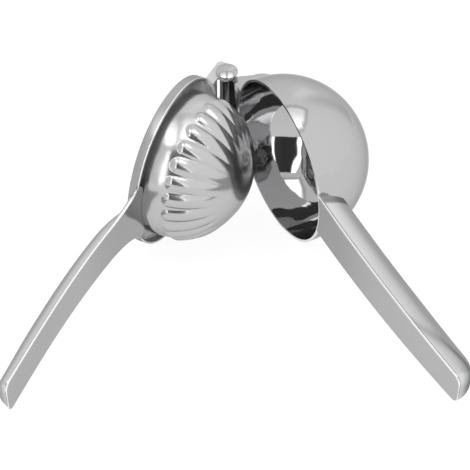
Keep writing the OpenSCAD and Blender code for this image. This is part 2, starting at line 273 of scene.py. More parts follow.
def cut_opening(light, tree, view, up):
    """The tent's dark front opening, with a strip of light at each side."""
    ahead = dot(tree, view, (math.sin(OPENING), math.cos(OPENING), 0.0))
    aside = dot(tree, view, (math.cos(OPENING), -math.sin(OPENING), 0.0))
    near = larger(ahead, 0.01)
    across = aside / near
    shown = between(up / near, -0.5, 1.20, 0.02) * ease(ahead, 0.0, 0.02)
    strips = (between(across, 0.30, 0.46, 0.02) + between(across, -0.345, -0.285, 0.012)) * shown
    dark = between(across, -0.28, 0.285, 0.012) * shown
    return (light + strips * STRIP_STRENGTH) * (1 - dark * OPENING_DARK)


print("opening at", round(math.degrees(OPENING), 1), "degrees")

# %% The light tent
def light_tent():
    world = bpy.data.worlds.new("light_tent")
    world.use_nodes = True
    tree = world.node_tree
    tree.nodes.clear()
    view = add(tree, "ShaderNodeTexCoord").outputs["Generated"]
    east, north, up = (dot(tree, view, axis) for axis in ((1, 0, 0), (0, 1, 0), (0, 0, 1)))
    light = cloth_walls(east, north, up)
    light = hang_lamp(light, east, north, up)
    light = cut_opening(light, tree, view, up)
    shine = add(tree, "ShaderNodeBackground")
    feed(tree, light, shine.inputs["Strength"])
    out = add(tree, "ShaderNodeOutputWorld")
    tree.links.new(shine.outputs[0], out.inputs["Surface"])
    bpy.context.scene.world = world
    return world


print("world:", light_tent().name)

# %% [markdown]
# ## Table
# The press lies on a seamless white sheet. A plain white floor lit by the tent
# would throw so much light up that the steel's undersides turn flat. So the
# sheet is a dark matt surface that takes the soft shadow, with a white glow that
# only the camera and mirror-like surfaces see.

# %% Table top
TABLE_GLOW = (0.90, 0.90, 0.90, 1)
TABLE_MATT = (0.13, 0.13, 0.13, 1)


def table_look():
    look = bpy.data.materials.new("white_table")
    look.use_nodes = True
    tree = look.node_tree
    tree.nodes.clear()
    matt = add(tree, "ShaderNodeBsdfDiffuse")
    matt.inputs["Color"].default_value = TABLE_MATT
    white = add(tree, "ShaderNodeEmission")
    white.inputs["Color"].default_value = TABLE_GLOW
    ray = add(tree, "ShaderNodeLightPath")
    camera_ray, glossy, through = (Value(tree, ray.outputs[name]) for name in
                                   ("Is Camera Ray", "Is Glossy Ray", "Is Transmission Ray"))
    seen = calc(tree, "ADD", camera_ray, glossy + through, clamp=True)
    feed(tree, seen + camera_ray * 0.02, white.inputs["Strength"])
    both = add(tree, "ShaderNodeAddShader")
    tree.links.new(matt.outputs[0], both.inputs[0])
    tree.links.new(white.outputs[0], both.inputs[1])
    out = add(tree, "ShaderNodeOutputMaterial")
    tree.links.new(both.outputs[0], out.inputs["Surface"])
    return look


def table_top(radius=3.0):
    mesh = bpy.data.meshes.new("table_top")
    work = bmesh.new()
    bmesh.ops.create_circle(work, cap_ends=True, cap_tris=False, segments=96, radius=radius)
    work.to_mesh(mesh)
    work.free()
    mesh.materials.append(table_look())
    table = bpy.data.objects.new("table_top", mesh)
    table.location.z = -0.0002
    bpy.context.scene.collection.objects.link(table)
    return table


print("table:", table_top().name)

# %% [markdown]
# ## Steel
# The press is one metal in several finishes: mirror polish on bowl and dome, a
# softer polish on the handles, satin on the ring and the folded straps. A
# perfect mirror would look like plastic or water. What makes it metal is what
# disturbs it: faint waves that pressing leaves, hair-fine polishing lines and
# a few wipe marks. Every finish has them, so they are one node group that works
# from the object's own coordinates and hands back a colour, a roughness and a
# height. The shader itself stays in each material.

# %% Polishing marks
def noise(tree, label, place, **inputs):
    made = add(tree, "ShaderNodeTexNoise", label)
    tree.links.new(place, made.inputs["Vector"])
    for name, value in inputs.items():
        feed(tree, value, made.inputs[name])
    return Value(tree, made.outputs["Fac"])


def open_group(name, given, made):
    """An empty shader group with named inputs and outputs."""
    tree = bpy.data.node_groups.new(name, "ShaderNodeTree")
    for label, value in given:
        socket = tree.interface.new_socket(name=label, in_out="INPUT", socket_type="NodeSocketFloat")
        socket.default_value = value
    for label, kind in made:
        tree.interface.new_socket(name=label, in_out="OUTPUT", socket_type=kind)
    inputs, result = add(tree, "NodeGroupInput"), add(tree, "NodeGroupOutput")
    return tree, {label: Value(tree, inputs.outputs[label]) for label, value in given}, result.inputs


def polishing_marks():
    tree, given, result = open_group(
        "polish_marks",
        (("Tone", 0.45), ("Gloss loss", 0.05), ("Line scale", 60.0), ("Wave scale", 55.0)),
        (("Color", "NodeSocketColor"), ("Roughness", "NodeSocketFloat"), ("Height", "NodeSocketFloat")))
    place = add(tree, "ShaderNodeTexCoord").outputs["Object"]
    belt = add(tree, "ShaderNodeMapping", "along the polishing belt")
    belt.inputs["Scale"].default_value = (1.0, 0.12, 1.0)
    belt.inputs["Rotation"].default_value = (0.3, 0.0, 0.5)
    tree.links.new(place, belt.inputs["Vector"])
    fine = given["Line scale"] * 60.0
    lines = noise(tree, "hair lines", belt.outputs[0], Scale=fine, Detail=4.0, Roughness=0.65)
    waves = noise(tree, "press waves", place, Scale=given["Wave scale"], Detail=1.0)
    wipes = noise(tree, "wipe marks", place, Scale=26.0, Detail=3.0, Distortion=0.6)
    dull = ease(wipes, 0.45, 0.75)
    tone = given["Tone"] * (lines * 0.06 + (0.97 - dull * 0.02))
    mix = add(tree, "ShaderNodeCombineColor")
    for socket, factor in zip(mix.inputs, (1.0, 1.0, 1.012)):
        feed(tree, tone * factor, socket)
    tree.links.new(mix.outputs[0], result["Color"])
    feed(tree, given["Gloss loss"] + (dull * 0.035 + lines * 0.03), result["Roughness"])
    feed(tree, waves + lines * 0.012, result["Height"])
    return tree


POLISH_MARKS = polishing_marks()
print("group:", POLISH_MARKS.name)

# %% [markdown]
# Each finish is the same recipe with other amounts: how bright the metal is, how
# much gloss it has lost, how deep its waves are, how bright it gets seen edge-on
# (rim) and how much of it is bare metal rather than grey film (metal). A piece
# may carry a point attribute that brightens or darkens it point by point: painted
# highlights, painted shade and painted reflections, some of them standing partly
# for edges rubbed bright.

# %% Steels
SHEEN_TONE = 0.95                   # tone of a painted highlight on a rounded edge, partly an edge rubbed bright


def steel(name, tone, gloss_loss, line_scale=60.0, wave_height=0.00006, rim=0.55, metal=1.0):
    look = bpy.data.materials.new(name)
    look.use_nodes = True
    tree = look.node_tree
    shader = tree.nodes["Principled BSDF"]
    shader.inputs["Metallic"].default_value = metal
    shader.inputs["Specular Tint"].default_value = (rim, rim, rim, 1)
    marks = add(tree, "ShaderNodeGroup", "polish", node_tree=POLISH_MARKS)
    marks.inputs["Gloss loss"].default_value = gloss_loss
    marks.inputs["Line scale"].default_value = line_scale
    # the point attribute shifts the tone: painted highlights on edges, painted shade and painted
    # reflections
    sheen_shade = add(tree, "ShaderNodeAttribute", "painted edge light and shade", attribute_name="sheen_and_shade")
    feed(tree, Value(tree, sheen_shade.outputs["Fac"]) * (SHEEN_TONE - tone) + tone, marks.inputs["Tone"])
    tree.links.new(marks.outputs["Color"], shader.inputs["Base Color"])
    tree.links.new(marks.outputs["Roughness"], shader.inputs["Roughness"])
    bump = add(tree, "ShaderNodeBump")
    bump.inputs["Distance"].default_value = wave_height
    tree.links.new(marks.outputs["Height"], bump.inputs["Height"])
    tree.links.new(bump.outputs["Normal"], shader.inputs["Normal"])
    return look


bowl_steel = steel("bowl_polish", 0.51, 0.035, wave_height=0.00010, metal=0.94)
dome_steel = steel("dome_polish", 0.54, 0.175, wave_height=0.00014, metal=0.97)
handle_steel = steel("handle_polish", 0.53, 0.10, line_scale=90.0, wave_height=0.00018)
ring_steel = steel("ring_brushed", 0.41, 0.24, rim=0.3, metal=0.62)
yoke_steel = steel("folded_strap", 0.60, 0.34, rim=0.3, metal=0.35)
pin_steel = steel("pin_polish", 0.52, 0.08, wave_height=0.00002)
# the barrel is painted dark: a painted reflection of the tent's dark opening
barrel_dark_reflection = steel("barrel_dark_reflection", 0.13, 0.16, rim=0.3)
bracket_steel = steel("bracket_polish", 0.50, 0.12)
print("steels:", [m.name for m in bpy.data.materials])

# %% [markdown]
# ## Where a finish changes, and where light is painted
# On the real press the polishing wheel doesn't reach everywhere: the ring's floor
# and its neck stay satin. Light is painted in too: a painted highlight along the
# ring's front lip and the bowl's rim, partly an edge rubbed bright, and painted
# shade on the bracket behind the barrel.
# Painted textures could show that. Masks worked out in millimetres of the half
# that the piece belongs to are simpler, and they stay crisp at any size.

# %% Change of tone
def measured(look, half):
    """Where a point lies in its half, in millimetres: along the arm, in depth, and sideways."""
    tree = look.node_tree
    place = add(tree, "ShaderNodeTexCoord").outputs["Object"]
    found = []
    for axis in ((1, 0, 0), (0, 1, 0), (0, 0, 1)):
        way = (HALF[half].to_3x3() @ Vector(axis)).normalized()
        start = HALF[half].translation.dot(way) * 1000
        found.append(dot(tree, place, way) * 1000.0 - start)
    return found


def retone(look, mask, tone, metal=None):
    """Leads a steel's tone, and its metallic share, to new values where the mask is 1."""
    tree = look.node_tree
    marks = next(n for n in tree.nodes if n.label == "polish")
    targets = [(marks.inputs["Tone"], tone)]
    if metal is not None:
        targets.append((tree.nodes["Principled BSDF"].inputs["Metallic"], metal))
    for socket, value in targets:
        old = Value(tree, socket.links[0].from_socket) if socket.links else socket.default_value
        feed(tree, (1 - mask) * old + mask * value, socket)


print("masks can be drawn in", sorted(HALF))

# %% Ring: satin floor, painted highlight on the lip
arm, depth, side = measured(ring_steel, "press_half")
radius = root((arm - REACH) ** 2 + side ** 2)
shown_side = ease(side, 14.0, 30.0, 0.80, 0.08) * ease(arm, 71.0, 74.0, 1.0, 0.0)
satin_floor = ease(radius, 35.1, 35.4, 1.0, 0.0) * shown_side
neck = ease(arm, 17.5, 22.0, 1.0, 0.0)
retone(ring_steel, larger(satin_floor, neck), 0.90, 0.05)
# a painted highlight along the front lip, partly an edge rubbed bright
lip = ease(depth, 0.08, 0.22) * ease(radius, 35.7, 36.0) * ease(arm, 20.0, 24.0)
retone(ring_steel, lip, SHEEN_TONE, 0.9)
print("ring has", len(ring_steel.node_tree.nodes), "nodes")

# %% Bracket: painted shade behind the barrel
arm, depth, side = measured(bracket_steel, "bowl_half")
# painted shade on the bracket where it lies behind the barrel
shaded = ease(arm, 9.0, 10.5, 1.0, 0.0) * ease(side, 6.0, 8.5, 1.0, 0.0)
retone(bracket_steel, shaded, 0.14)
print("bracket has", len(bracket_steel.node_tree.nodes), "nodes")

# %% Bowl: painted highlight on the rim
arm, depth, side = measured(bowl_steel, "bowl_half")
# a painted highlight line along the bowl's rim
rim = ease(depth, 0.10, 0.30, 1.0, 0.0) * ease(arm, 50.0, 58.0) * ease(side, 8.0, 20.0, 1.0, 0.0)
retone(bowl_steel, rim, SHEEN_TONE)
print("bowl has", len(bowl_steel.node_tree.nodes), "nodes")

# %% [markdown]
# ## Dents
# Thin sheet is never quite true. Welding the handle dents the bowl beside it, its
# inside is polished less well than its outside, and stamping the ribs leaves
# waves at the foot of the dome. They are far too shallow to see as shape, and
# show only in how reflections bend, so they are bump and not geometry. Bowl and
# dome both have them, so the pattern is a group of its own.

# %% Shallow dents
def shallow_dents():
    tree, given, result = open_group("shallow_dents", (("Scale", 100.0),), (("Height", "NodeSocketFloat"),))
    place = add(tree, "ShaderNodeTexCoord").outputs["Object"]
    feed(tree, noise(tree, "dents", place, Scale=given["Scale"], Detail=1.5), result["Height"])
    return tree


SHALLOW_DENTS = shallow_dents()


def dent(look, scale, deep):
    """Lays dents over what already bends a steel's reflections; deep is in metres."""
    tree = look.node_tree
    dents = add(tree, "ShaderNodeGroup", node_tree=SHALLOW_DENTS)
    dents.inputs["Scale"].default_value = scale
    bump = add(tree, "ShaderNodeBump")
    tree.links.new(dents.outputs["Height"], bump.inputs["Height"])
    feed(tree, deep, bump.inputs["Distance"])
    normal = tree.nodes["Principled BSDF"].inputs["Normal"]
    tree.links.new(normal.links[0].from_socket, bump.inputs["Normal"])
    tree.links.new(bump.outputs["Normal"], normal)


dent(bowl_steel, 150.0, ease(arm, 66.0, 80.0) * 0.00045)
from_middle = root((arm - REACH) ** 2 + side ** 2 + larger(depth - BOWL_MID, 0.0) ** 2)
dent(bowl_steel, 85.0, ease(from_middle, BOWL_R - 0.8, BOWL_R - 0.3, 0.00024, 0.00003))
arm, depth, side = measured(dome_steel, "press_half")
retone(dome_steel, ease(depth, 18.0, 26.0, 1.0, 0.0), 0.55, 0.87)
dent(dome_steel, 95.0, ease(depth, 20.0, 2.0, 0.1, 1.0) * 0.0006)
print("dents laid on", bowl_steel.name, "and", dome_steel.name)

# %% [markdown]
# ## Making a piece
# Whatever a mesh is grown from, it is finished in one way: doubles merged,
# normals turned outwards, faces smooth, and only true corners left sharp. It
# rides on the half it belongs to and takes the place of the plain part. All
# points are put where they lie on the table, so that the object itself stays at
# the origin.

# %% Finishing a mesh
def finish_mesh(mesh, look, smooth_angle):
    work = bmesh.new()
    work.from_mesh(mesh)
    bmesh.ops.remove_doubles(work, verts=work.verts, dist=2e-7)
    bmesh.ops.dissolve_degenerate(work, edges=work.edges, dist=1e-7)
    bmesh.ops.recalc_face_normals(work, faces=work.faces)
    sharp = math.radians(smooth_angle)
    for face in work.faces:
        face.smooth = True
    for edge in work.edges:
        if len(edge.link_faces) == 2 and edge.calc_face_angle() > sharp:
            edge.smooth = False
    work.to_mesh(mesh)
    work.free()
    mesh.materials.clear()
    mesh.materials.append(look)


def present(mesh, half, node):
    """Shows a finished mesh in place of a plain part."""
    made = bpy.data.objects.new(mesh.name, mesh)
    bpy.context.scene.collection.objects.link(made)
    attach(made, half)
    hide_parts(node)
    print(mesh.name, len(mesh.polygons), "faces")
    return made


# %% A mesh from rings
def rings_to_mesh(rings):
    """Joins rings of equal length with quads; both ends get a fan."""
    count = len(rings[0])
    verts = [tuple(p) for ring in rings for p in ring]
    faces = []
    for i in range(len(rings) - 1):
        a, b = i * count, (i + 1) * count
        for k in range(count):
            n = (k + 1) % count
            faces.append([a + k, a + n, b + n, b + k])
    for i in (0, len(rings) - 1):
        verts.append(tuple(np.mean(np.array(rings[i]), axis=0)))
        hub = len(verts) - 1
        faces += [[i * count + k, i * count + (k + 1) % count, hub] for k in range(count)]
    return verts, faces


def make_piece(name, rings, half, look, node, sheen_and_shade_at=None):
    """A piece from rings drawn in its half; the last argument gives, at a point, the value of painted
    highlight, shade and reflection.
    """
    verts, faces = rings_to_mesh(rings)
    mesh = bpy.data.meshes.new(name)
    mesh.from_pydata([HALF[half] @ Vector(v) for v in verts], [], faces)
    finish_mesh(mesh, look, 40.0)
    if sheen_and_shade_at:
        back = HALF[half].inverted()
        sheen_shade = mesh.attributes.new("sheen_and_shade", "FLOAT", "POINT")
        sheen_shade.data.foreach_set("value", [sheen_and_shade_at(back @ v.co) for v in mesh.vertices])
    return present(mesh, half, node)


print("pieces can be made")

# %% [markdown]
# ## Handles
# Each handle is a channel of thin steel, deep behind and open in front, closed
# by a flat strip whose long edges are rounded by the polishing wheel. The two
# meet in a hairline seam. A bevelled box would have one section all along, but
# a real handle narrows, deepens and bends on its way. So both are lofted: a
# section is worked out from the handle's width and depth at each station and
# carried along its bent line. Stations are millimetres from the hinge pin.

# %% What the handles measure
def bend_through(heights):
    """A smooth bend of the flat front through a few heights along the handle."""
    middle = 130.0
    stations = np.array(list(heights)) - middle
    fit = np.polyfit(stations, list(heights.values()), 4)
    return lambda x: float(np.polyval(fit, x - middle))


# the press strip's outline where it widens into the ring and hugs the dome:
# station at its edge, half width, station at its middle
ROOT_EDGE = [(76.8, 13.2, 79.25), (77.6, 14.4, 79.8), (78.5, 15.6, 80.5), (79.6, 16.35, 81.2),
             (80.4, 15.2, 81.9), (81.3, 14.1, 82.7), (82.4, 13.1, 83.6), (83.8, 12.2, 84.8),
             (85.5, 11.4, 86.3), (87.5, 10.75, 88.1), (90.0, 10.15, 90.3), (93.0, 9.65, 93.1),
             (96.5, 9.25, 96.5), (100.0, 9.0, 100.0)]

BOWL_HANDLE = dict(
    back=1, tip=184.5, corner=3.4, fall=12.5, end=4.8, steps=30, flank=17.5, lean=5.0, ridge=11.0,
    bend=lambda x: -0.73 + (x - 109.5) ** 2 / 1960, bar=math.inf,
    width={80: 10.45, 90: 10.3, 100: 10.1, 120: 9.7, 140: 9.15, 150: 8.8, 160: 8.35, 170: 7.9, 184.5: 7.35},
    depth={80: 12.9, 100: 12.8, 120: 12.6, 140: 12.4, 160: 11.9, 178: 11.5, 190: 11.3})
PRESS_HANDLE = dict(
    back=-1, tip=185.3, corner=3.2, fall=4.5, end=3.7, steps=34, flank=12.0, lean=18.0, ridge=9.4,
    bend=bend_through({79: 0.457, 95: -1.104, 132: -1.686, 170: 0.549, 185.3: 1.789}), bar=9.0,
    width={79: 16.6, **{x: wide for x, wide, _ in ROOT_EDGE[4:]}, 115: 8.8, 135: 8.4, 150: 8.15, 190: 8.15},
    depth={79: 4.1, 85: 5.0, 92: 6.5, 100: 7.3, 115: 7.2, 135: 7.0, 145: 6.8, 160: 6.6, 175: 6.1, 190: 5.9})
print("handles end at", BOWL_HANDLE["tip"], "and", PRESS_HANDLE["tip"], "mm")

# %% Width, depth and front at a station
def at_station(stations, x):
    return float(np.interp(x, list(stations), list(stations.values())))


def eased(stations, x, reach):
    """The mean over a short way to both sides, so that no station shows as a corner."""
    return float(np.mean([at_station(stations, x + d) for d in np.linspace(-reach, reach, 9)]))


def full_width(handle, x):
    return eased(handle["width"], x, 4.0)


def rounded_by(over, radius):
    """What a rounded corner takes off, a way `over` past its start."""
    return radius - math.sqrt(max(radius ** 2 - over ** 2, 0)) if over > 0 else 0.0


def half_width(handle, x):
    corner = handle["corner"]
    return full_width(handle, x) - rounded_by(x - (handle["tip"] - corner), corner)


def channel_depth(handle, x):
    """The back falls away in an arc before the tip, and rounds over at its very edge."""
    fall, drop = handle["fall"], at_station(handle["depth"], handle["tip"]) - handle["end"]
    deep = eased(handle["depth"], x, 3.0)
    deep -= rounded_by(x - (handle["tip"] - fall), (fall ** 2 + drop ** 2) / (2 * drop))
    edge = 0.9
    return deep - 0.8 * rounded_by(x - (handle["tip"] - edge), edge)


def front_line(handle, x):
    return handle["bend"](min(x, handle["tip"]))


print("bowl handle is", round(2 * half_width(BOWL_HANDLE, 100), 1), "mm wide near the bowl")

# %% Channel section
STRIP = 0.68                       # thickness of the front strip
SEAM = 0.16                        # hairline between strip and channel
SOFT_CREST = 0.9                   # where flank and crest run into each other


def resample(line, count):
    pace = np.hypot(*np.diff(line, axis=0).T)
    along = np.concatenate([[0], np.cumsum(pace)])
    want = np.linspace(0, along[-1], count)
    return np.stack([np.interp(want, along, line[:, k]) for k in (0, 1)], axis=1)


def channel_half(handle, half_wide, deep):
    """Half of a channel's section as (z, d): a leaning round flank, then a round crest."""
    flank, ridge, tilt = handle["flank"], handle["ridge"], math.radians(handle["lean"])
    d = np.linspace(0.0, deep, 240)
    side = np.sqrt(np.maximum(flank ** 2 - (d + flank * math.sin(tilt)) ** 2, 0))
    side += half_wide - flank * math.cos(tilt)
    crest = np.sqrt(np.maximum(ridge ** 2 - (d - (deep - ridge)) ** 2, 0))
    blend = np.maximum(SOFT_CREST - np.abs(side - crest), 0) ** 2 / (4 * SOFT_CREST)
    z = np.maximum(np.minimum(side, crest) - blend, 0)
    z[-1] = 0.0
    return resample(np.stack([z, d], axis=1), 200)


def channel_loop(handle, x):
    """The channel's section at a station, with its lip turned in below the strip."""
    full = full_width(handle, x)
    bar = min(full, handle["bar"])
    half = channel_half(handle, bar, channel_depth(handle, x))
    if full > bar:
        web = front_line(handle, x) - FLOOR
        hold = np.clip((web - half[:, 1]) / 0.9, 0, 1)
        half[:, 0] += (full - bar) * hold * hold * (3 - 2 * hold)
    half[:, 0] *= half_width(handle, x) / full
    top = STRIP + SEAM
    half = half[half[:, 1] > top + 0.28]
    edge = half[0, 0]
    lip = [[edge - 0.46, top], [edge - 0.26, top + 0.03], [edge - 0.08, top + 0.11], [edge, top + 0.25]]
    half = np.concatenate([lip, resample(half, 44)])
    return np.concatenate([half, (half * [-1, 1])[::-1][1:]])


print("channel section has", len(channel_loop(BOWL_HANDLE, 120.0)), "points")

# %% Strip section
STRIP_ROUND = 0.5                  # radius of the strip's long edges


def strip_loop(handle, x):
    wide, r = half_width(handle, x), STRIP_ROUND
    flat = [[z, 0.0] for z in np.linspace(0, wide - r, 9)]
    arc = [[wide - r + r * math.sin(a), r - r * math.cos(a)] for a in np.radians([12, 27, 45, 63, 80, 90])]
    foot = [[wide, STRIP - 0.1], [wide - 0.03, STRIP - 0.03], [wide - 0.12, STRIP]]
    half = np.array(flat + arc + foot)
    return np.concatenate([half[::-1], (half * [-1, 1])[1:]])


print("strip section has", len(strip_loop(BOWL_HANDLE, 120.0)), "points")

# %% [markdown]
# The bowl's handle starts on the round wall of the bowl, so its first rings are
# sheared to follow that wall and straighten out over a few millimetres. The
# press's strip starts at the dome and spreads into the ring; its channel starts
# behind the ring.

# %% Lofts
def tip_stations(handle, start):
    """Stations out to the tip, closer together where the back falls and the corners round."""
    corner, tip, fall = handle["corner"], handle["tip"], handle["fall"]
    run = list(np.linspace(start, tip - fall - 1, handle["steps"]))
    run += list(np.linspace(tip - fall, tip - corner, 8))[:-1]
    return run + [tip - corner + corner * math.sin(a) for a in np.radians(np.linspace(0, 90, 16))]


def ring_at(handle, loop, xs):
    return [(x, front_line(handle, x) + handle["back"] * d, z) for (z, d), x in zip(loop, xs)]


def straight_rings(handle, loop_at, stations):
    loops = [(x, loop_at(handle, x)) for x in stations]
    return [ring_at(handle, loop, [x] * len(loop)) for x, loop in loops]


def on_bowl(z, y):
    """Station where the bowl's outside is met, a little inside its wall."""
    r = BOWL_R - 0.35
    return REACH + math.sqrt(max(r * r - z * z - max(y - BOWL_MID, 0.0) ** 2, 1.0))


def bowl_handle_rings(loop_at):
    handle, start, join = BOWL_HANDLE, 86.0, 97.0
    front = front_line(handle, 84.0)
    rings = []
    for t in np.linspace(0, 1, 9)[:-1]:
        loop = loop_at(handle, start + (join - start) * t)
        begin = [on_bowl(z, front + d) for z, d in loop]
        rings.append(ring_at(handle, loop, [x + (join - x) * t for x in begin]))
    return rings + straight_rings(handle, loop_at, tip_stations(handle, join))


def press_strip_rings():
    handle, join = PRESS_HANDLE, 104.0
    rings = []
    for edge_x, edge_z, mid_x in ROOT_EDGE:
        loop = strip_loop(handle, join)
        loop[:, 0] *= edge_z / half_width(handle, join)
        xs = [mid_x + (edge_x - mid_x) * (z / edge_z) ** 2 for z, d in loop]
        rings.append(ring_at(handle, loop, xs))
    return rings + straight_rings(handle, strip_loop, tip_stations(handle, join))


def press_channel_rings():
    behind_ring = list(np.linspace(79.7, 103.0, 30))
    return straight_rings(PRESS_HANDLE, channel_loop, behind_ring + tip_stations(PRESS_HANDLE, 104.0))


print("rings of the press channel:", len(press_channel_rings()))

# %% [markdown]
# Painted light is what tells the four pieces apart. Each strip's rounded long
# edges carry a painted highlight line, partly an edge rubbed bright, and its face
# is darker towards the root. Where the press strip meets the dome, a painted shadow
# darkens its edge. Along each channel's flank a painted reflection runs from bright
# beside the seam to dark at the back, and one wavy dark band of painted reflection
# crosses it near the tip. These follow the form, so they are worked out at each
# point of the mesh and stored as its attribute.

# %% Painted light on the handles
def smooth_step(value, low, high):
    t = min(max((value - low) / (high - low), 0.0), 1.0)
    return t * t * (3 - 2 * t)


def strip_sheen_and_shade(handle):
    """Painted highlight on the rounded long edge of a front strip, partly an edge rubbed bright, with a
    painted shadow on that edge where the press strip meets the dome; darker towards the root.
    """
    def sheen_and_shade_at(p):
        d = (p.y - front_line(handle, p.x)) * handle["back"]
        if 0.008 < d < 0.62:
            # painted highlight on the rounded edge; on the press strip next to the dome, painted shadow in
            # the gap
            return 1.0 if p.x > 80.7 or handle["back"] > 0 else -0.95
        # darker towards the root
        return -0.22 * (1 - smooth_step(p.x, 92.0, 135.0))
    return sheen_and_shade_at


def flank_reflection(handle, streak_from):
    """Painted reflection on a channel's flank, bright beside the seam and dark at the back, with one wavy
    dark band that starts at the given station.
    """
    def sheen_and_shade_at(p):
        deep = (p.y - front_line(handle, p.x)) * handle["back"] / max(channel_depth(handle, p.x), 1.0)
        # painted reflection: bright beside the seam, dark at the back
        value = 0.28 * (1 - smooth_step(deep, 0.30, 0.62)) - 0.25 * smooth_step(deep, 0.42, 0.75)
        # one wavy dark band of painted reflection across the flank
        dark_streak = p.x - (streak_from + 34.0 * deep + 2.0 * math.sin(9.0 * deep))
        return value - 0.45 * math.exp(-(dark_streak / 5.0) ** 2)
    return sheen_and_shade_at


edge_point = Vector((120.0, front_line(BOWL_HANDLE, 120.0) + 0.3, 9.0))
print("painted highlight on the edge of the bowl's strip:", strip_sheen_and_shade(BOWL_HANDLE)(edge_point))

# %% The four handle pieces
make_piece("bowl_handle_channel", bowl_handle_rings(channel_loop), "bowl_half",
           handle_steel, "bowl_handle_shell", flank_reflection(BOWL_HANDLE, 150.0))
make_piece("bowl_handle_strip", bowl_handle_rings(strip_loop), "bowl_half",
           handle_steel, "bowl_handle_face", strip_sheen_and_shade(BOWL_HANDLE))
make_piece("press_handle_channel", press_channel_rings(), "press_half",
           handle_steel, "press_handle_shell", flank_reflection(PRESS_HANDLE, 205.0))
make_piece("press_handle_strip", press_strip_rings(), "press_half",
           handle_steel, "press_handle_face", strip_sheen_and_shade(PRESS_HANDLE))

# %% [markdown]
# ## Ribbed dome
# The dome is drawn from one disc, then twenty-four ribs are pressed out of it:
# blunt at the foot, melting into the smooth crown. They could be sculpted or
# copied round one by one, but each would then need blending into the sheet.
# They follow a rule, so the form is a Geometry Nodes graph: a flat grid is
# rolled into a dome, and each point is lifted by how near it lies to a rib's
# middle line. All sizes are inputs of the graph.

# %% Rolling a grid into a sheet
DOME_SIZES = {"Radius": DOME_R, "Wall": 1.0, "Band": 5.2, "Ribs": 24, "Turn": 2.0, "Rise": 1.15,
              "Foot": 19.0, "Fade low": 28.0, "Fade high": 62.0, "Half width": 3.25}
COLUMNS = DOME_SIZES["Ribs"] * 18 + 1


def rolled_grid(tree, rows):
    """A unit grid, its longitude in radians and its share of the way up."""
    grid = add(tree, "GeometryNodeMeshGrid")
    for name, value in (("Size X", 1.0), ("Size Y", 1.0), ("Vertices X", COLUMNS), ("Vertices Y", rows)):
        grid.inputs[name].default_value = value
    where = add(tree, "ShaderNodeSeparateXYZ")
    tree.links.new(add(tree, "GeometryNodeInputPosition").outputs[0], where.inputs[0])
    longitude = (Value(tree, where.outputs["X"]) + 0.5) * math.tau
    return grid, longitude, Value(tree, where.outputs["Y"]) + 0.5


def put_round(tree, grid, longitude, out, up):
    """Moves each point of a grid `out` from the dome's axis and `up` along it."""
    spot = add(tree, "ShaderNodeCombineXYZ")
    feed(tree, out * calc(tree, "COSINE", longitude), spot.inputs["X"])
    feed(tree, up, spot.inputs["Y"])
    feed(tree, out * calc(tree, "SINE", longitude), spot.inputs["Z"])
    move = add(tree, "GeometryNodeSetPosition")
    tree.links.new(grid.outputs["Mesh"], move.inputs["Geometry"])
    tree.links.new(spot.outputs[0], move.inputs["Position"])
    return move.outputs[0]


print("dome sizes:", DOME_SIZES)

# %% How far a point is lifted
def rib_lift(size, longitude, latitude):
    """Height of the ribs over the dome: highest on their middle line, gone at the crown."""
    tree = latitude.tree
    foot, fade_low, fade_high, start = (calc(tree, "RADIANS", size[name])
                                        for name in ("Foot", "Fade low", "Fade high", "Turn"))
    pitch = math.tau / size["Ribs"]
    turns = (longitude - start) / pitch
    flat = size["Radius"] * calc(tree, "COSINE", latitude)
    across = (turns - calc(tree, "ROUND", turns)) * pitch * flat
    short = larger(foot - latitude, 0.0) * size["Radius"]
    # the rib narrows with the pitch as it climbs
    wide = larger(smaller(size["Half width"], pitch * flat * 0.47), 0.05)
    from_line = (across / wide) ** 2.0 + (short / size["Half width"]) ** 2.0
    bulge = larger(1.0 - from_line, 0.0) ** 0.9
    return bulge * ease(latitude, fade_low, fade_high, 1.0, 0.0) * size["Rise"]


print("ribs rise", DOME_SIZES["Rise"], "mm")

# %% The skins of the dome
def skin(tree, size, rows, inner):
    """One skin: outer with ribs, or inner and smooth, from the band's edge up to the crown."""
    grid, longitude, share = rolled_grid(tree, rows)
    radius = size["Radius"] - size["Wall"] if inner else size["Radius"]
    arc = share * (radius * (math.pi / 2) + size["Band"]) - size["Band"]
    latitude = larger(arc, 0.0) / radius
    full = radius if inner else radius + rib_lift(size, longitude, latitude)
    out = full * calc(tree, "COSINE", latitude)
    up = full * calc(tree, "SINE", latitude) + smaller(arc, 0.0)
    return put_round(tree, grid, longitude, out, up)


def foot_ring(tree, size):
    """Closes the wall between the two skins, at the foot of the band."""
    grid, longitude, share = rolled_grid(tree, 2)
    out = size["Radius"] - (1.0 - share) * size["Wall"]
    return put_round(tree, grid, longitude, out, size["Band"] * -1.0)


print("each skin has", COLUMNS, "columns of points")

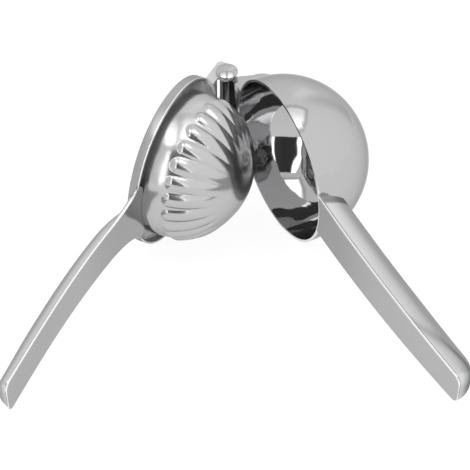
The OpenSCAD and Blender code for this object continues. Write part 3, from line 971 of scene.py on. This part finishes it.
# %% Dome graph
def dome_graph(look):
    tree = bpy.data.node_groups.new("ribbed_dome", "GeometryNodeTree")
    for name, value in DOME_SIZES.items():
        socket = tree.interface.new_socket(name=name, in_out="INPUT", socket_type="NodeSocketFloat")
        socket.default_value = value
    tree.interface.new_socket(name="Geometry", in_out="OUTPUT", socket_type="NodeSocketGeometry")
    given, result = add(tree, "NodeGroupInput"), add(tree, "NodeGroupOutput")
    size = {name: Value(tree, given.outputs[name]) for name in DOME_SIZES}
    join = add(tree, "GeometryNodeJoinGeometry")
    for part in (skin(tree, size, 150, False), skin(tree, size, 18, True), foot_ring(tree, size)):
        tree.links.new(part, join.inputs[0])
    weld = add(tree, "GeometryNodeMergeByDistance")
    weld.inputs["Distance"].default_value = 0.0005
    real = add(tree, "GeometryNodeRealizeInstances")
    paint = add(tree, "GeometryNodeSetMaterial")
    paint.inputs["Material"].default_value = look
    chain = (join, weld, real, paint, result)
    for before, after in zip(chain, chain[1:]):
        tree.links.new(before.outputs[0], after.inputs[0])
    return tree


ribbed_dome = dome_graph(dome_steel)
print("dome graph has", len(ribbed_dome.nodes), "nodes")

# %% The dome itself
def make_dome(look):
    blank = bpy.data.meshes.new("blank")
    carrier = bpy.data.objects.new("carrier", blank)
    bpy.context.scene.collection.objects.link(carrier)
    modifier = carrier.modifiers.new("ribbed_dome", "NODES")
    modifier.node_group = ribbed_dome
    for item in ribbed_dome.interface.items_tree:
        if item.item_type == "SOCKET" and item.in_out == "INPUT":
            modifier[item.identifier] = float(DOME_SIZES[item.name])
    mesh = bpy.data.meshes.new_from_object(carrier.evaluated_get(bpy.context.evaluated_depsgraph_get()))
    bpy.data.objects.remove(carrier)
    bpy.data.meshes.remove(blank)
    mesh.name = "press_dome_ribbed"
    mesh.transform(HALF["press_half"] @ Matrix.Translation((REACH, DOME_MID, 0.0)))
    finish_mesh(mesh, look, 60.0)
    return present(mesh, "press_half", "press_dome")


dome = make_dome(dome_steel)

# %% [markdown]
# ## Hinge and ring
# The folded straps, the barrel and the ring are right in the construction
# model except for their edges: no sheet metal has knife edges. They could be
# drawn again, but a copy is truer. Each is copied, its doubles are merged, its
# edges are rounded by a fraction of a millimetre so that they catch a thin line
# of light, and a few points are moved to their true places.

# %% True places
TOP_LIFT = 1.4                     # the hinge's top stands this much higher
TOP_FROM = 6.0                     # and everything above this height goes with it


def raise_top(p):
    return Vector((p.x, p.y, p.z + TOP_LIFT if p.z > TOP_FROM else p.z))


def raise_ear(p):
    """Lifts the upper ear and draws its nose in."""
    nose = 0.8 if p.z > TOP_FROM and p.y > 0 else 1.0
    return raise_top(Vector((p.x, p.y * nose, p.z)))


def swell(p):
    """Gives the ring its true outside: half a millimetre wider, its back further back."""
    arm, side = p.x - REACH, p.z
    r = math.hypot(arm, side)
    away = min(max((abs(math.degrees(math.atan2(side, arm))) - 30.0) / 25.0, 0.0), 1.0)
    grow = 0.5 * away * smooth_step(side, -26.0, -12.0) if r > RING_R - 0.3 else 0.0
    back = 0.9 * away if p.y < FLOOR - 0.5 and r > RING_R - 2 else 0.0
    scale = (r + grow) / r if r > 1 else 1.0
    return Vector((REACH + arm * scale, p.y - back, side * scale))


print("the hinge's top goes up by", TOP_LIFT, "mm")

# %% Rounded copies
def rounded_copy(node, half, look, radius, move):
    """A copy of a plain part, its points moved and its edges rounded by `radius` millimetres."""
    mesh = nodes[node].data.copy()
    mesh.name = node + "_rounded"
    back = HALF[half].inverted()
    work = bmesh.new()
    work.from_mesh(mesh)
    bmesh.ops.remove_doubles(work, verts=work.verts, dist=2e-6)
    for v in work.verts:
        v.co = HALF[half] @ move(back @ v.co)
    bmesh.ops.dissolve_limit(work, angle_limit=math.radians(0.5), verts=work.verts, edges=work.edges)
    sharp = [e for e in work.edges
             if len(e.link_faces) == 2 and e.calc_face_angle() > math.radians(32)]
    bmesh.ops.bevel(work, geom=sharp, offset=radius * 0.001, offset_type="OFFSET", segments=3,
                    profile=0.5, affect="EDGES", clamp_overlap=True)
    bmesh.ops.triangulate(work, faces=[f for f in work.faces if len(f.verts) > 4])
    work.to_mesh(mesh)
    work.free()
    finish_mesh(mesh, look, 50.0)
    return present(mesh, half, node)


rounded_copy("press_ring", "press_half", ring_steel, 0.3, swell)
rounded_copy("press_yoke", "press_half", yoke_steel, 0.25, raise_ear)
rounded_copy("bowl_bracket", "bowl_half", bracket_steel, 0.25, raise_top)
rounded_copy("hinge_barrel", "bowl_half", barrel_dark_reflection, 0.2, raise_top)

# %% [markdown]
# ## Pin
# The pin is a rivet: a turned shank with a low button head. Turned parts are
# drawn as half an outline and swept round their axis, as the lathe makes them.

# %% Turned pin
def lathe(profile, steps=72):
    """Turns (radius, z) points about the pin's axis."""
    angles = np.linspace(0, math.tau, steps, endpoint=False)
    return [[(r * math.cos(a), r * math.sin(a), z) for a in angles] for r, z in profile]


def button_head(radius, foot, height):
    """A rivet head: short side, rounded corner, low dome."""
    crown = height - 0.7
    curve = (radius ** 2 + crown ** 2) / (2 * crown)
    corner = [(radius - 0.12, foot), (radius, foot + 0.12), (radius, foot + 0.6)]
    dome_line = [(r, foot + height - curve + math.sqrt(curve ** 2 - r * r))
                 for r in np.linspace(radius - 0.06, 0.15, 14)]
    return corner + dome_line


shank = [(1.98, -11.4), (1.98, 10.2 + TOP_LIFT)]
make_piece("hinge_pin_turned", lathe(shank + button_head(4.7, 10.45 + TOP_LIFT, 1.75)), "press_half",
           pin_steel, "hinge_pin")

# %% [markdown]
# ## Parts that stay as they are
# The bowl and the pin's cap need no new form. The bowl's drilled holes, even wall
# and thin rim are exact already, so both only get their steel.

# %% Steel on the kept parts
KEPT = {"bowl": bowl_steel, "hinge_pin_cap": pin_steel}
for name, look in KEPT.items():
    for slot in nodes[name].material_slots:
        slot.material = look
print("kept:", sorted(KEPT))
